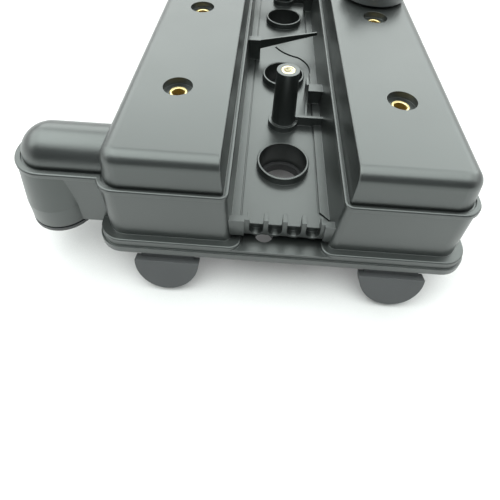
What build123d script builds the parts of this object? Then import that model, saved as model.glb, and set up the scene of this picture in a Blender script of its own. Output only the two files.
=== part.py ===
"""Moulded valve cover of a four-cylinder, twin-cam engine.

Frame: X across the cover, Y along the crankshaft, Z up.  The origin is the centre of the
cover-bolt rows on the gasket plane.  All sizes are millimetres.
"""

import math
import os

from build123d import *

os.makedirs("parts", exist_ok=True)

LEFT = -1
RIGHT = 1

overlap = 1.0                   # how far one solid runs into the next before they join
through = 200.0                 # longer than any hole is deep

# ---------------------------------------------------------------- engine layout
cylinder_count = 4
plug_pitch = 86.0
plug_row_shift = -17.2          # centre of the plug row, measured from the bolt rows' centre
bolts_per_side = 4
bolt_pitch = 91.2
bolt_row_x = 58.8

# ---------------------------------------------------------------- outline and heights
near_margin = 53.3              # first plug to the near edge of the flange
far_margin = 35.0               # last bolt to the far edge of the flange
flange_half_width = 93.5
flange_corner_radius = 13.0
deck_height = 6.5               # flange between the two boxes
pad_height = 8.6                # flange beside the boxes
rim_step_height = 3.8           # foot of the flange, proud of what stands on it
rim_step = 0.9
pad_inner_x = 20.0
pad_inner_radius = 6.0
ledge_height = 41.5
top_height = 60.0
wall = 3.0
flange_round = 0.8

# ---------------------------------------------------------------- lower boxes
box_inner_x = 27.4
box_outer_x = 89.4
box_foot_inner_x = (25.0, 22.5)  # left and right, where the walls meet the valley
box_foot_outer_x = 88.2
box_near_gap = 5.6              # flange edge to the box wall, under the ledge
box_foot_gap = 4.6              # flange edge to the box wall, at its foot
box_outer_radius = 9.5
box_inner_radius = 3.5
hollow_corner_radius = 1.0
mouth_corner_radius = 3.0       # mouth of the box, through the ledge
ledge_overhang = 0.9
ledge_thickness = 2.6
ledge_land = 8.0                # width of the ledge, wall included
lip_round = 0.95
weld_step_gap = 0.8             # open line left round the foot of the upper shell
weld_step_depth = 0.9
weld_step_radius = 0.6

# ---------------------------------------------------------------- upper shells
shell_setback = 2.5             # ledge edge to the foot of the upper shell
shell_wall = 2.8
shell_draft = 4.5
shell_outer_radius = 10.0
shell_inner_radius = 0.0
crown_round = 6.8
crown_inner_round = 1.2

# ---------------------------------------------------------------- valley
valley_floor_height = 14.9
valley_floor_thickness = 3.0
valley_end_gap = 8.5            # flange edge to the valley's end wall
valley_hollow_gap = 0.4         # foot of a box wall to the hollow under the valley
valley_margin_rise = 0.7
valley_margin_inner_x = (-21.0, 19.0)
margin_near_slant = 8.0         # length of the right margin's slant behind the comb
swing_gap = 6.0                 # second plug to where the right margin swings out
swing_points = ((11.0, 22.5), (-6.0, 36.0))  # x, and y from the start of the swing
swing_radii = (-22.0, 30.0)
swing_length = 52.0
margin_groove_width = 0.8
margin_groove_depth = 0.9
plug_bore_radius = 13.5
collar_wall = 1.3
collar_outer_radius = plug_bore_radius + collar_wall
collar_height = 4.6
collar_round = 0.5
well_wall = 2.8

# ---------------------------------------------------------------- comb for the plug leads
comb_centre_x = 1.2
comb_pitch = 9.4
comb_slots = 4
comb_slot_radius = 3.5
comb_collar_wall = 1.2
comb_top_height = 22.4
comb_plate_thickness = 2.4
comb_collar_length = 4.8
comb_slot_stop = 1.2            # wall left between a slot and the valley floor's edge
comb_shoulder_x = (-18.9, 20.6)  # inner edges of the thick shoulders beside the slots
comb_shoulder_proud = 1.3
comb_shoulder_bottom = 11.0
scoop_depth = 9.0               # hollow under the comb, behind its front face
scoop_top_height = 12.4
deck_hole_x = -8.6
deck_hole_gap = 11.8            # flange edge to the hole's centre
deck_hole_radius = 4.8

# ---------------------------------------------------------------- posts and clips
post_offset = 37.0              # from the plug hole in front of it
post_height = 56.0
post_top_radius = 6.7
post_base_radius = 7.6
post_foot_radius = 9.4
post_foot_height = 4.0
insert_radius = 4.2
insert_bore_radius = 2.5
insert_length = 14.0
insert_seat_below = 3.0         # hole left below the insert
insert_chamfer = 0.5
post_rib_height = 21.5
post_rib_thickness = 2.0
clip_block_width = 9.6
clip_block_depth = 6.0
clip_height = 32.0
clip_arm_thickness = 1.6
clip_arm_root = 7.5
clip_arm_tip = 2.2
clip_arm_sweep = 15.7           # how far the arm slants along the valley
clip_tip_gap = 3.0              # arm's tip to the opposite wall
clip_gaps = (25.2, 23.0)        # second plug to the left clip, third plug to the right one
hook_gap = 27.8                 # plug hole to the hook's near face
hook_inner_x = 14.2
hook_length = 8.0
hook_block_rise = 11.0
hook_fin_rise = 16.0
hook_fin_reach = 12.5
hook_fin_radius = 30.0
hook_fin_thickness = 1.6

# ---------------------------------------------------------------- bolt columns and sleeves
recess_radius = 7.9
recess_depth = 4.2
recess_wall = 2.0
column_radius = 8.0
column_rib_thickness = 3.0
column_rib_height = 16.0        # depth of the ribs that tie a column to its box
sleeve_radius = 4.9
sleeve_bore_radius = 3.4
sleeve_clearance = 0.06
sleeve_proud = 0.4
sleeve_chamfer = 0.35

# ---------------------------------------------------------------- breather
breather_axis_x = -117.0
breather_near_gap = 29.3        # flange edge to the breather's axis
dome_radius = 14.2
dome_wall = 2.6
breather_ledge_radius = 17.8
breather_notch_radius = 3.0     # where the breather's ledge meets the box's
outlet_radius = 16.8
drum_radius = 17.3              # upper part of the outlet, under the ledge
drum_foot_height = 17.0         # where the drum's taper ends in the straight outlet
outlet_lean = 4.4               # how far the outlet leans towards the near end, top to bottom
outlet_height = 5.0             # lower end of the outlet
outlet_bore_radius = 13.9
web_half_width = 15.0
ring_radius = 17.0
ring_thickness = 2.8
ring_spigot = 6.0
ring_bore_radius = 11.0
ring_gap = 0.9
ring_round = 0.8
ring_clearance = 0.12

# ---------------------------------------------------------------- gasket and seals
gasket_inset = 2.2
gasket_width = 3.8
gasket_groove_depth = 3.0
gasket_proud = 1.2
gasket_clearance = 0.1
half_moon_x = 57.6
half_moon_radius = 16.5
half_moon_thickness = 5.4
half_moon_neck_width = 27.0
half_moon_neck_overlap = 4.0    # how far the neck runs down behind the half disc
half_moon_neck_lean = (1.0, 2.0)  # front and back of the neck's foot, towards the near end
half_moon_drop = 4.6
half_moon_splay = 20.0
half_moon_front = 1.4           # how far the flat edge stands in front of the flange
well_seal_depth = 4.0
well_seal_lip = 2.2
well_seal_skin = 0.9            # wall of the well left outside the seal

# ---------------------------------------------------------------- oil filler
filler_x = 61.8
filler_y = -12.2
neck_radius = 18.0
neck_height = 7.0
neck_wall = 3.0
neck_bore_radius = neck_radius - neck_wall
cap_skirt_clearance = 0.8
cap_skirt_wall = 3.6
cap_radius = neck_radius + cap_skirt_clearance + cap_skirt_wall
cap_body_height = 12.0
cap_round = 2.5
cap_foot_chamfer = 0.8
cap_gap = 1.6                   # skirt above the shell's crown
cap_wall = 2.6
cap_plug_clearance = 0.4
cap_plug_radius = neck_bore_radius - cap_plug_clearance
cap_plug_length = 9.0
cap_grip_width = 9.0
cap_grip_rise = 9.0             # above the cap's flat top
cap_grip_inset = 4.0            # grip's end to the cap's edge
cap_grip_angle = 35.0
cap_grip_round = 1.5
cap_seal_thickness = 1.8
cap_seal_inset = 0.4
cap_seal_clearance = 0.1

# ---------------------------------------------------------------- oil baffles
baffle_thickness = 2.0
baffle_clearance = 0.4
baffle_hole_radius = 5.0
baffle_hole_clearance = 0.5

# ---------------------------------------------------------------- worked-out places
first_plug_y = plug_row_shift - plug_pitch * (cylinder_count - 1) / 2
plug_ys = [first_plug_y + plug_pitch * i for i in range(cylinder_count)]
first_bolt_y = -bolt_pitch * (bolts_per_side - 1) / 2
bolt_ys = [first_bolt_y + bolt_pitch * i for i in range(bolts_per_side)]
near_y = first_plug_y - near_margin
far_y = bolt_ys[-1] + far_margin
length = far_y - near_y
mid_y = (near_y + far_y) / 2
valley_near_y = near_y + valley_end_gap
valley_far_y = far_y - valley_end_gap
margin_near_y = valley_near_y + comb_collar_length
margin_far_y = valley_far_y - wall
breather_y = near_y + breather_near_gap
post_ys = [plug_ys[0] + post_offset, plug_ys[2] + post_offset]
recess_floor = top_height - recess_depth
ledge_bottom = ledge_height - ledge_thickness
land_height = ledge_height - weld_step_depth
foot_inset = shell_setback - ledge_overhang
seal_outer_radius = plug_bore_radius + well_wall - well_seal_skin


def side_outline(side, inset, outer_radius, inner_radius):
    """Plan of one long box under its ledge, inset from its wall all round."""
    inner = box_inner_x + inset
    outer = box_outer_x - inset
    return long_outline(side, inner, outer, box_near_gap + inset, outer_radius, inner_radius)


def long_outline(side, inner, outer, end_gap, outer_radius, inner_radius):
    """Plan of a long bar on one side, from inner to outer, end_gap short of the flange's ends."""
    with BuildSketch() as plan:
        with Locations((side * (inner + outer) / 2, mid_y)):
            Rectangle(outer - inner, length - 2 * end_gap)
        corners = plan.vertices().group_by(Axis.X)
        fillet(corners[-1] if side == RIGHT else corners[0], outer_radius)
        if inner_radius > 0:
            fillet(plan.vertices().filter_by(lambda v: abs(abs(v.X) - inner) < 1e-4), inner_radius)
    return plan.sketch


def breather_outline(radius, reach_x):
    """Plan of the breather: a bar with a round end, reaching to reach_x."""
    with BuildSketch() as plan:
        with Locations((breather_axis_x, breather_y)):
            Circle(radius)
        with Locations(((breather_axis_x + reach_x) / 2, breather_y)):
            Rectangle(reach_x - breather_axis_x, 2 * radius)
    return plan.sketch


def flange_outline(inset):
    """Plan of the whole flange, inset from its edge."""
    with BuildSketch() as plan:
        with Locations((0, mid_y)):
            RectangleRounded(
                2 * (flange_half_width - inset), length - 2 * inset, flange_corner_radius - inset
            )
    return plan.sketch


def pad_outline(side):
    """Plan of the raised part of the flange under one box."""
    return long_outline(
        side, pad_inner_x, flange_half_width - rim_step, rim_step,
        flange_corner_radius - rim_step, pad_inner_radius,
    )


def left_margin_edge():
    """Inner edge of the raised margin along the valley's left wall."""
    with BuildLine() as edge:
        Line((valley_margin_inner_x[0], margin_near_y), (valley_margin_inner_x[0], margin_far_y))
    return edge.line


def right_margin_edge():
    """Inner edge of the right margin, from the comb to the far end, with its swing."""
    inner = valley_margin_inner_x[1]
    slant_far_y = margin_near_y + margin_near_slant
    swing_near_y = plug_ys[1] + swing_gap
    swing_far_y = swing_near_y + swing_length
    turn, tip = [(x, swing_near_y + y) for x, y in swing_points]
    with BuildLine() as edge:
        Line((box_inner_x, margin_near_y), (inner, slant_far_y))
        Line((inner, slant_far_y), (inner, swing_near_y))
        RadiusArc((inner, swing_near_y), turn, swing_radii[0])
        RadiusArc(turn, tip, swing_radii[1])
        Line(tip, (inner, swing_far_y))
        Line((inner, swing_far_y), (inner, margin_far_y))
    return edge.line


# ================================================================ cover body
with BuildPart() as cover_body:
    # Flange: a stepped rim, a thin deck between the boxes, thicker pads round them.
    with BuildSketch():
        add(flange_outline(0))
    extrude(amount=rim_step_height)
    with BuildSketch():
        add(flange_outline(rim_step))
    extrude(amount=deck_height)
    for side in (LEFT, RIGHT):
        with BuildSketch():
            add(pad_outline(side))
        extrude(amount=pad_height)
    flange_rim = cover_body.faces().filter_by(Axis.Z).group_by(Axis.Z)[-1].edges()
    fillet(flange_rim, flange_round)

    # Lower boxes, drafted from foot to ledge, and the valley between them, solid at first.
    for side, foot_inner_x in zip((LEFT, RIGHT), box_foot_inner_x):
        with BuildSketch():
            add(
                long_outline(
                    side, foot_inner_x, box_foot_outer_x, box_foot_gap,
                    box_outer_radius, box_inner_radius,
                )
            )
        with BuildSketch(Plane.XY.offset(ledge_height - overlap / 2)):
            add(side_outline(side, 0, box_outer_radius, box_inner_radius))
        loft()
    with BuildSketch():
        with Locations((0, (valley_near_y + valley_far_y) / 2)):
            Rectangle(2 * (box_inner_x + overlap), valley_far_y - valley_near_y)
    extrude(amount=valley_floor_height)

    # Lower half of the breather: a leaning drum on a straight outlet, and the duct to the box.
    with BuildSketch(Plane.XY.offset(outlet_height)):
        with Locations((breather_axis_x, breather_y - outlet_lean)):
            Circle(outlet_radius)
    extrude(amount=drum_foot_height - outlet_height)
    with BuildSketch(Plane.XY.offset(drum_foot_height)):
        with Locations((breather_axis_x, breather_y - outlet_lean)):
            Circle(outlet_radius)
    with BuildSketch(Plane.XY.offset(ledge_bottom)):
        with Locations((breather_axis_x, breather_y)):
            Circle(drum_radius)
    loft()
    with BuildSketch(Plane.XY.offset(outlet_height)):
        with Locations(((breather_axis_x - box_outer_x) / 2, breather_y)):
            Rectangle(-breather_axis_x - box_outer_x + 2 * overlap, 2 * web_half_width)
    extrude(amount=ledge_height - overlap / 2 - outlet_height)

    # Welding ledge, one run round each box, the left one taking in the breather.
    for side in (LEFT, RIGHT):
        with BuildSketch(Plane.XY.offset(ledge_bottom)) as ledge:
            add(
                side_outline(
                    side,
                    -ledge_overhang,
                    box_outer_radius + ledge_overhang,
                    box_inner_radius + ledge_overhang,
                )
            )
            if side == LEFT:
                add(breather_outline(breather_ledge_radius, -box_outer_x))
                notch = ledge.vertices().filter_by(
                    lambda v: abs(v.X + box_outer_x + ledge_overhang) < 1e-3
                    and abs(abs(v.Y - breather_y) - breather_ledge_radius) < 1e-3
                )
                fillet(notch, breather_notch_radius)
        extrude(amount=ledge_thickness)
    ledge_edges = (
        cover_body.faces().filter_by(Axis.Z).group_by(Axis.Z)[-1].edges()
    )
    fillet(ledge_edges, lip_round)

    # Hollow of each box, open below, with a narrower mouth through the ledge.
    for side, foot_inner_x in zip((LEFT, RIGHT), box_foot_inner_x):
        with BuildSketch():
            add(
                long_outline(
                    side, foot_inner_x + wall, box_foot_outer_x - wall, box_foot_gap + wall,
                    box_outer_radius - wall, hollow_corner_radius,
                )
            )
        with BuildSketch(Plane.XY.offset(ledge_bottom - overlap)):
            add(side_outline(side, wall, box_outer_radius - wall, hollow_corner_radius))
        loft(mode=Mode.SUBTRACT)
        with BuildSketch(Plane.XY.offset(ledge_bottom - overlap)):
            add(
                side_outline(
                    side, ledge_land - ledge_overhang, mouth_corner_radius, hollow_corner_radius
                )
            )
        extrude(amount=ledge_thickness + 2 * overlap, mode=Mode.SUBTRACT)
        # Step that the upper shell's foot and the baffle stand on.
        with BuildSketch(Plane.XY.offset(land_height)):
            inset = foot_inset - weld_step_gap
            add(
                side_outline(
                    side, inset, shell_outer_radius + weld_step_gap, weld_step_radius
                )
            )
            if side == LEFT:
                add(breather_outline(dome_radius + weld_step_gap, -box_outer_x + 2 * overlap))
        extrude(amount=weld_step_depth + overlap, mode=Mode.SUBTRACT)

    # Hollow of the breather: outlet bore, its straight mouth, the duct and the way into the box.
    with BuildSketch(Plane.XY.offset(outlet_height)):
        with Locations((breather_axis_x, breather_y - outlet_lean)):
            Circle(outlet_bore_radius)
    with BuildSketch(Plane.XY.offset(ledge_height)):
        with Locations((breather_axis_x, breather_y)):
            Circle(dome_radius - dome_wall)
    loft(mode=Mode.SUBTRACT)
    with Locations((breather_axis_x, breather_y - outlet_lean, outlet_height)):
        Cylinder(outlet_bore_radius, 2 * (ring_spigot + overlap / 2), mode=Mode.SUBTRACT)
    with BuildSketch(Plane.XY.offset(outlet_height + wall)):
        with Locations(((breather_axis_x - box_outer_x) / 2, breather_y)):
            Rectangle(-breather_axis_x - box_outer_x, 2 * (dome_radius - dome_wall))
    extrude(amount=ledge_height, mode=Mode.SUBTRACT)

    # Underside of the valley, open below, behind the scoop under the comb.
    hollow_near_y = valley_near_y + scoop_depth + wall
    hollow_far_y = valley_far_y - wall
    hollow_left_x = -box_foot_inner_x[0] + valley_hollow_gap
    hollow_right_x = box_foot_inner_x[1] - valley_hollow_gap
    with BuildSketch():
        with Locations(
            ((hollow_left_x + hollow_right_x) / 2, (hollow_near_y + hollow_far_y) / 2)
        ):
            Rectangle(hollow_right_x - hollow_left_x, hollow_far_y - hollow_near_y)
    extrude(amount=valley_floor_height - valley_floor_thickness, mode=Mode.SUBTRACT)
    scoop_box = Location(
        (
            (hollow_left_x + hollow_right_x) / 2,
            valley_near_y + scoop_depth / 2,
            (deck_height + scoop_top_height) / 2,
        )
    )
    with Locations(scoop_box):
        Box(
            hollow_right_x - hollow_left_x, scoop_depth, scoop_top_height - deck_height,
            mode=Mode.SUBTRACT,
        )

    # Plug wells with their collars.
    with Locations(*[(0, y, 0) for y in plug_ys]):
        Cylinder(
            plug_bore_radius + well_wall,
            valley_floor_height,
            align=(Align.CENTER, Align.CENTER, Align.MIN),
        )
        Cylinder(
            collar_outer_radius,
            valley_floor_height + collar_height,
            align=(Align.CENTER, Align.CENTER, Align.MIN),
        )
    collar_rims = cover_body.edges().filter_by(GeomType.CIRCLE).filter_by(
        lambda e: abs(e.center().Z - valley_floor_height - collar_height) < 1e-3
    )
    fillet(collar_rims, collar_round)
    with Locations(*[(0, y, 0) for y in plug_ys]):
        Cylinder(plug_bore_radius, through, mode=Mode.SUBTRACT)
        Cylinder(seal_outer_radius, 2 * well_seal_depth, mode=Mode.SUBTRACT)

    # Raised margins along the valley's walls, each with a groove along its edge; the right one
    # swings out past the second plug.
    with BuildSketch(Plane.XY.offset(valley_floor_height - overlap / 2)):
        with BuildLine():
            add(left_margin_edge())
            Polyline(
                (valley_margin_inner_x[0], margin_far_y), (-box_inner_x, margin_far_y),
                (-box_inner_x, margin_near_y), (valley_margin_inner_x[0], margin_near_y),
            )
        make_face()
        with BuildLine():
            add(right_margin_edge())
            Polyline(
                (valley_margin_inner_x[1], margin_far_y), (box_inner_x, margin_far_y),
                (box_inner_x, margin_near_y),
            )
        make_face()
    extrude(amount=overlap / 2 + valley_margin_rise)
    for margin_edge in (left_margin_edge(), right_margin_edge()):
        with BuildSketch(Plane.XY.offset(valley_floor_height - margin_groove_depth)):
            with BuildLine():
                add(margin_edge)
            trace(line_width=margin_groove_width)
        extrude(amount=margin_groove_depth + 2 * valley_margin_rise, mode=Mode.SUBTRACT)

    # Comb across the near end of the valley: a plate with a thick shoulder at each end, and a
    # collared slot for each plug lead, stopped short of the valley floor.
    slot_xs = [
        comb_centre_x + comb_pitch * (i - (comb_slots - 1) / 2) for i in range(comb_slots)
    ]
    comb_face = Plane.XZ.offset(-valley_near_y)
    comb_middle_height = (comb_shoulder_bottom + comb_top_height) / 2
    with BuildSketch(comb_face):
        with Locations((0, comb_middle_height)):
            Rectangle(2 * box_inner_x, comb_top_height - comb_shoulder_bottom)
    extrude(amount=-comb_plate_thickness)
    for side, shoulder_x in zip((LEFT, RIGHT), comb_shoulder_x):
        shoulder_width = box_inner_x - abs(shoulder_x)
        with BuildSketch(comb_face):
            with Locations((shoulder_x + side * shoulder_width / 2, comb_middle_height)):
                Rectangle(shoulder_width, comb_top_height - comb_shoulder_bottom)
        extrude(amount=comb_shoulder_proud)
    with BuildSketch(comb_face):
        for x in slot_xs:
            with Locations((x, valley_floor_height)):
                Circle(comb_slot_radius + comb_collar_wall)
            with Locations((x, (valley_floor_height + comb_top_height) / 2)):
                Rectangle(
                    2 * (comb_slot_radius + comb_collar_wall), comb_top_height - valley_floor_height
                )
    extrude(amount=-comb_collar_length)
    with BuildSketch(comb_face):
        for x in slot_xs:
            with Locations((x, valley_floor_height)):
                Circle(comb_slot_radius)
    extrude(amount=-comb_collar_length + comb_slot_stop, mode=Mode.SUBTRACT)
    with BuildSketch(comb_face):
        for x in slot_xs:
            with Locations((x, valley_floor_height + comb_top_height / 2)):
                Rectangle(2 * comb_slot_radius, comb_top_height)
    extrude(amount=-comb_collar_length, mode=Mode.SUBTRACT)
    with Locations((deck_hole_x, near_y + deck_hole_gap, deck_height / 2)):
        Cylinder(deck_hole_radius, deck_height, mode=Mode.SUBTRACT)

    # Posts for the lead cover, each with a foot and a rib to the right-hand box.
    for y in post_ys:
        with Locations((0, y, valley_floor_height - overlap)):
            Cylinder(
                post_foot_radius, post_foot_height + overlap,
                align=(Align.CENTER, Align.CENTER, Align.MIN)
            )
            Cone(
                post_base_radius, post_top_radius, post_height - valley_floor_height + overlap,
                align=(Align.CENTER, Align.CENTER, Align.MIN),
            )
        with Locations((box_inner_x / 2, y, (valley_floor_height + post_rib_height) / 2)):
            Box(box_inner_x + overlap, post_rib_thickness, post_rib_height - valley_floor_height)
        with Locations((0, y, post_height)):
            Cylinder(
                insert_radius + sleeve_clearance, 2 * (insert_length + insert_seat_below),
                mode=Mode.SUBTRACT,
            )

    # Clips that hold the leads down: a block at one wall with an arm across the valley.
    for side, y in ((LEFT, plug_ys[1] + clip_gaps[0]), (RIGHT, plug_ys[2] + clip_gaps[1])):
        root_x = side * (box_inner_x - clip_block_width)
        tip_x = -side * (box_inner_x - clip_tip_gap)
        block_x = side * (box_inner_x + (overlap - clip_block_width) / 2)
        with Locations((block_x, y, (valley_floor_height + clip_height) / 2)):
            Box(clip_block_width + overlap, clip_block_depth, clip_height - valley_floor_height)
        span = math.hypot(tip_x - root_x, clip_arm_sweep)
        along = Vector(tip_x - root_x, clip_arm_sweep, 0) / span
        arm_plane = Plane(
            origin=(root_x, y - clip_block_depth / 2 + clip_arm_thickness, clip_height),
            x_dir=along,
            z_dir=along.cross(Vector(0, 0, 1)),
        )
        with BuildSketch(arm_plane):
            with BuildLine():
                Polyline(
                    (-2 * overlap, 0), (span, 0), (span, -clip_arm_tip),
                    (-2 * overlap, -clip_arm_root), close=True,
                )
            make_face()
        extrude(amount=clip_arm_thickness / 2, both=True)

    # Hooks at the right wall: a block with a fin that sweeps down to the floor.
    for y in (plug_ys[1] - hook_gap, plug_ys[3] - hook_gap):
        with Locations(
            (
                (hook_inner_x + box_inner_x) / 2,
                y + hook_length / 2,
                valley_floor_height + hook_block_rise / 2,
            )
        ):
            Box(box_inner_x - hook_inner_x, hook_length, hook_block_rise)
        fin_top = valley_floor_height + hook_fin_rise
        with BuildSketch(Plane.YZ.offset(hook_inner_x)):
            with BuildLine():
                Polyline(
                    (y - hook_fin_reach, valley_floor_height), (y + hook_length, valley_floor_height),
                    (y + hook_length, fin_top), (y, fin_top),
                )
                RadiusArc((y, fin_top), (y - hook_fin_reach, valley_floor_height), hook_fin_radius)
            make_face()
        extrude(amount=hook_fin_thickness)

    # Bolt columns inside the boxes, tied to their walls by ribs above the camshafts.
    for side in (LEFT, RIGHT):
        for y in bolt_ys:
            rib_top = ledge_bottom - overlap / 2
            with Locations(
                (side * (box_inner_x + box_outer_x) / 2, y, rib_top - column_rib_height / 2)
            ):
                Box(
                    box_outer_x - box_inner_x - 2 * overlap, column_rib_thickness,
                    column_rib_height,
                )
            with Locations((side * bolt_row_x, y, 0)):
                Cylinder(
                    column_radius, recess_floor - shell_wall,
                    align=(Align.CENTER, Align.CENTER, Align.MIN),
                )
                Cylinder(sleeve_radius + sleeve_clearance, through, mode=Mode.SUBTRACT)

    # Seats on the underside: a groove for the gasket and a step round each plug well.
    with BuildSketch():
        add(flange_outline(gasket_inset - gasket_clearance))
        add(
            flange_outline(gasket_inset + gasket_width + gasket_clearance), mode=Mode.SUBTRACT
        )
    extrude(amount=gasket_groove_depth, mode=Mode.SUBTRACT)

cover_body.part.label = "cover_body"
export_step(cover_body.part, "parts/cover_body.step")


def upper_shell():
    """Crowned upper half of the left box, standing on its ledge; the right one mirrors it."""
    side = LEFT
    foot = foot_inset
    base = Plane.XY.offset(land_height)
    rise = top_height - land_height
    with BuildPart() as shell:
        with BuildSketch(base):
            add(side_outline(side, foot, shell_outer_radius, shell_inner_radius))
        extrude(amount=rise, taper=shell_draft)
        crown = shell.faces().sort_by(Axis.Z)[-1].edges()
        inner_edge = crown.sort_by(lambda e: abs(e.center().X))[:1]
        fillet([e for e in crown if e not in inner_edge], crown_round)
        flat_top = shell.faces().filter_by(Axis.Z).sort_by(Axis.Z)[-1]
        fillet(flat_top.edges().sort_by(lambda e: abs(e.center().X))[:1], crown_inner_round)
        with BuildSketch(base):
            add(
                side_outline(
                    side, foot + shell_wall, shell_outer_radius - shell_wall, shell_inner_radius
                )
            )
        extrude(amount=rise - shell_wall, taper=shell_draft, mode=Mode.SUBTRACT)
        # Recess over each bolt column, with a hole for the sleeve.
        for y in bolt_ys:
            with Locations((side * bolt_row_x, y, recess_floor - shell_wall)):
                Cylinder(
                    recess_radius + recess_wall, recess_depth + shell_wall - overlap,
                    align=(Align.CENTER, Align.CENTER, Align.MIN),
                )
            with Locations((side * bolt_row_x, y, recess_floor)):
                Cylinder(
                    recess_radius, recess_depth + overlap,
                    align=(Align.CENTER, Align.CENTER, Align.MIN), mode=Mode.SUBTRACT,
                )
                Cylinder(sleeve_radius + sleeve_clearance, 4 * shell_wall, mode=Mode.SUBTRACT)
    return shell.part


# ================================================================ upper shells
with BuildPart() as left_upper_shell:
    add(upper_shell())
    # Breather dome: a half-round bar with a ball end, blended into the box's side.
    dome_reach = -(box_outer_x - foot_inset - dome_wall)
    with BuildSketch(Plane.YZ.offset(breather_axis_x)):
        with Locations((breather_y, ledge_height)):
            Circle(dome_radius)
    extrude(amount=dome_reach - breather_axis_x)
    with Locations((breather_axis_x, breather_y, ledge_height)):
        Sphere(dome_radius)
    with Locations((breather_axis_x, breather_y, land_height)):
        Box(
            through / 2, 3 * dome_radius, 3 * dome_radius,
            align=(Align.CENTER, Align.CENTER, Align.MAX), mode=Mode.SUBTRACT,
        )
    with BuildSketch(Plane.YZ.offset(breather_axis_x)):
        with Locations((breather_y, ledge_height)):
            Circle(dome_radius - dome_wall)
    extrude(amount=dome_reach - breather_axis_x + 2 * dome_wall, mode=Mode.SUBTRACT)
    with Locations((breather_axis_x, breather_y, ledge_height)):
        Sphere(dome_radius - dome_wall, mode=Mode.SUBTRACT)

left_upper_shell.part.label = "left_upper_shell"
export_step(left_upper_shell.part, "parts/left_upper_shell.step")

with BuildPart() as right_upper_shell:
    add(upper_shell())
    mirror(about=Plane.YZ, mode=Mode.REPLACE)
    with Locations((filler_x, filler_y, top_height - overlap)):
        Cylinder(neck_radius, neck_height + overlap, align=(Align.CENTER, Align.CENTER, Align.MIN))
    with Locations((filler_x, filler_y, top_height)):
        Cylinder(neck_bore_radius, 4 * neck_height, mode=Mode.SUBTRACT)

right_upper_shell.part.label = "right_upper_shell"
export_step(right_upper_shell.part, "parts/right_upper_shell.step")


# ================================================================ oil baffles
def baffle(side):
    """Plate that closes a box at ledge height, drained along its middle."""
    gap = foot_inset + shell_wall + baffle_clearance
    with BuildPart() as plate:
        with BuildSketch(Plane.XY.offset(land_height)):
            add(side_outline(side, gap, shell_outer_radius - shell_wall, hollow_corner_radius))
            with Locations(*[(side * bolt_row_x, y) for y in bolt_ys]):
                Circle(column_radius + baffle_hole_clearance, mode=Mode.SUBTRACT)
            with Locations(
                *[(side * bolt_row_x, (a + b) / 2) for a, b in zip(bolt_ys, bolt_ys[1:])]
            ):
                Circle(baffle_hole_radius, mode=Mode.SUBTRACT)
        extrude(amount=baffle_thickness)
    return plate.part


with BuildPart() as left_baffle:
    add(baffle(LEFT))

left_baffle.part.label = "left_baffle"
export_step(left_baffle.part, "parts/left_baffle.step")

with BuildPart() as right_baffle:
    add(baffle(RIGHT))

right_baffle.part.label = "right_baffle"
export_step(right_baffle.part, "parts/right_baffle.step")

# ================================================================ cover gasket and half-moons
with BuildPart() as cover_gasket:
    with BuildSketch(Plane.XY.offset(-gasket_proud)):
        add(flange_outline(gasket_inset))
        add(flange_outline(gasket_inset + gasket_width), mode=Mode.SUBTRACT)
    extrude(amount=gasket_proud + gasket_groove_depth)
    lean = math.radians(half_moon_splay)
    neck_foot = -half_moon_drop - half_moon_neck_overlap
    for side in (LEFT, RIGHT):
        # Half disc that drops into the camshaft's bore, splayed outwards as it hangs.
        face = Plane(
            origin=(side * half_moon_x, near_y - half_moon_front, -half_moon_drop),
            x_dir=(1, 0, 0),
            z_dir=(0, -math.cos(lean), math.sin(lean)),
        )
        with BuildSketch(face):
            Circle(half_moon_radius)
            with Locations((0, half_moon_radius)):
                Rectangle(3 * half_moon_radius, 2 * half_moon_radius, mode=Mode.SUBTRACT)
        extrude(amount=-half_moon_thickness)
        # Neck up to the gasket.
        with BuildSketch(Plane.YZ.offset(side * half_moon_x)):
            with BuildLine():
                Polyline(
                    (near_y + gasket_inset + gasket_width, 0),
                    (near_y + gasket_inset, 0),
                    (near_y + gasket_inset - half_moon_neck_lean[0], neck_foot),
                    (near_y + gasket_inset + gasket_width - half_moon_neck_lean[1], neck_foot),
                    close=True,
                )
            make_face()
        extrude(amount=half_moon_neck_width / 2, both=True)

cover_gasket.part.label = "cover_gasket"
export_step(cover_gasket.part, "parts/cover_gasket.step")

# ================================================================ plug-well seals
for index, y in enumerate(plug_ys, start=1):
    with BuildPart() as well_seal:
        with BuildSketch(Plane((0, y, -gasket_proud))):
            Circle(seal_outer_radius - gasket_clearance)
            Circle(plug_bore_radius - well_seal_lip, mode=Mode.SUBTRACT)
        extrude(amount=gasket_proud + well_seal_depth)
    well_seal.part.label = f"plug_well_seal_{index}"
    export_step(well_seal.part, f"parts/plug_well_seal_{index}.step")

# ================================================================ brass sleeves and inserts
for side, word in ((LEFT, "left"), (RIGHT, "right")):
    for index, y in enumerate(bolt_ys, start=1):
        with BuildPart() as sleeve:
            with BuildSketch(Plane((side * bolt_row_x, y, 0))):
                Circle(sleeve_radius)
                Circle(sleeve_bore_radius, mode=Mode.SUBTRACT)
            extrude(amount=recess_floor + sleeve_proud)
            chamfer(sleeve.edges().group_by(Axis.Z)[-1], sleeve_chamfer)
        sleeve.part.label = f"{word}_bolt_sleeve_{index}"
        export_step(sleeve.part, f"parts/{word}_bolt_sleeve_{index}.step")

for word, y in zip(("near", "far"), post_ys):
    with BuildPart() as insert:
        with BuildSketch(Plane((0, y, post_height - insert_length))):
            Circle(insert_radius)
            Circle(insert_bore_radius, mode=Mode.SUBTRACT)
        extrude(amount=insert_length)
        chamfer(insert.edges().group_by(Axis.Z)[-1].sort_by(SortBy.LENGTH)[:1], insert_chamfer)
    insert.part.label = f"{word}_post_insert"
    export_step(insert.part, f"parts/{word}_post_insert.step")

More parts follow.
